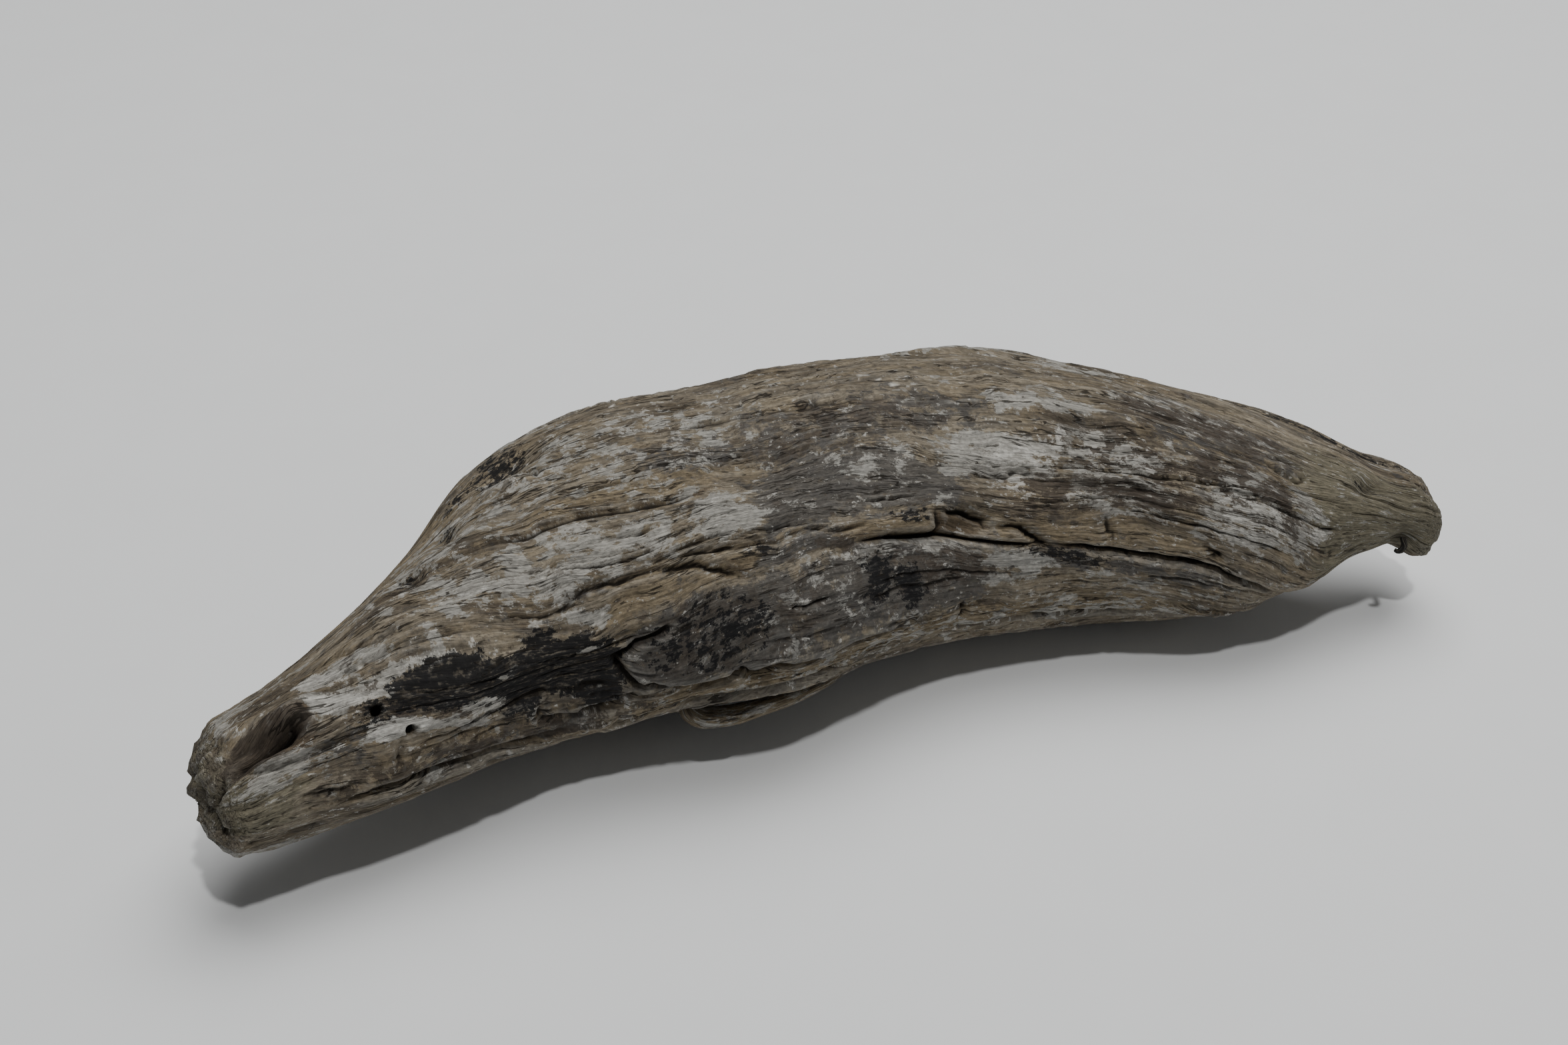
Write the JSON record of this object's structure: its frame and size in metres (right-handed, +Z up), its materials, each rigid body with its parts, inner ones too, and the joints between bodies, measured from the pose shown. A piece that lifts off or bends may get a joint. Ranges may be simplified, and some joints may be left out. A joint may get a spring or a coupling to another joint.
{
  "type": "piece of driftwood",
  "caption": "Long curved piece of weathered driftwood with a cracked, ridged surface, one blunt end and one tapered end, lying flat.",
  "frame": {"origin": "middle of the bounding box, at the level of the surface it lies on", "axes": "+X along the wood from its blunt end to its tapered end, +Z up, -Y the side that faces the viewer in the picture"},
  "size_m": [0.334, 0.107, 0.0761],
  "materials": {
    "weathered_wood": "dry, matt and weathered"
  },
  "bodies": {
    "root": {"driftwood": "weathered_wood"}
  },
  "joints": []
}
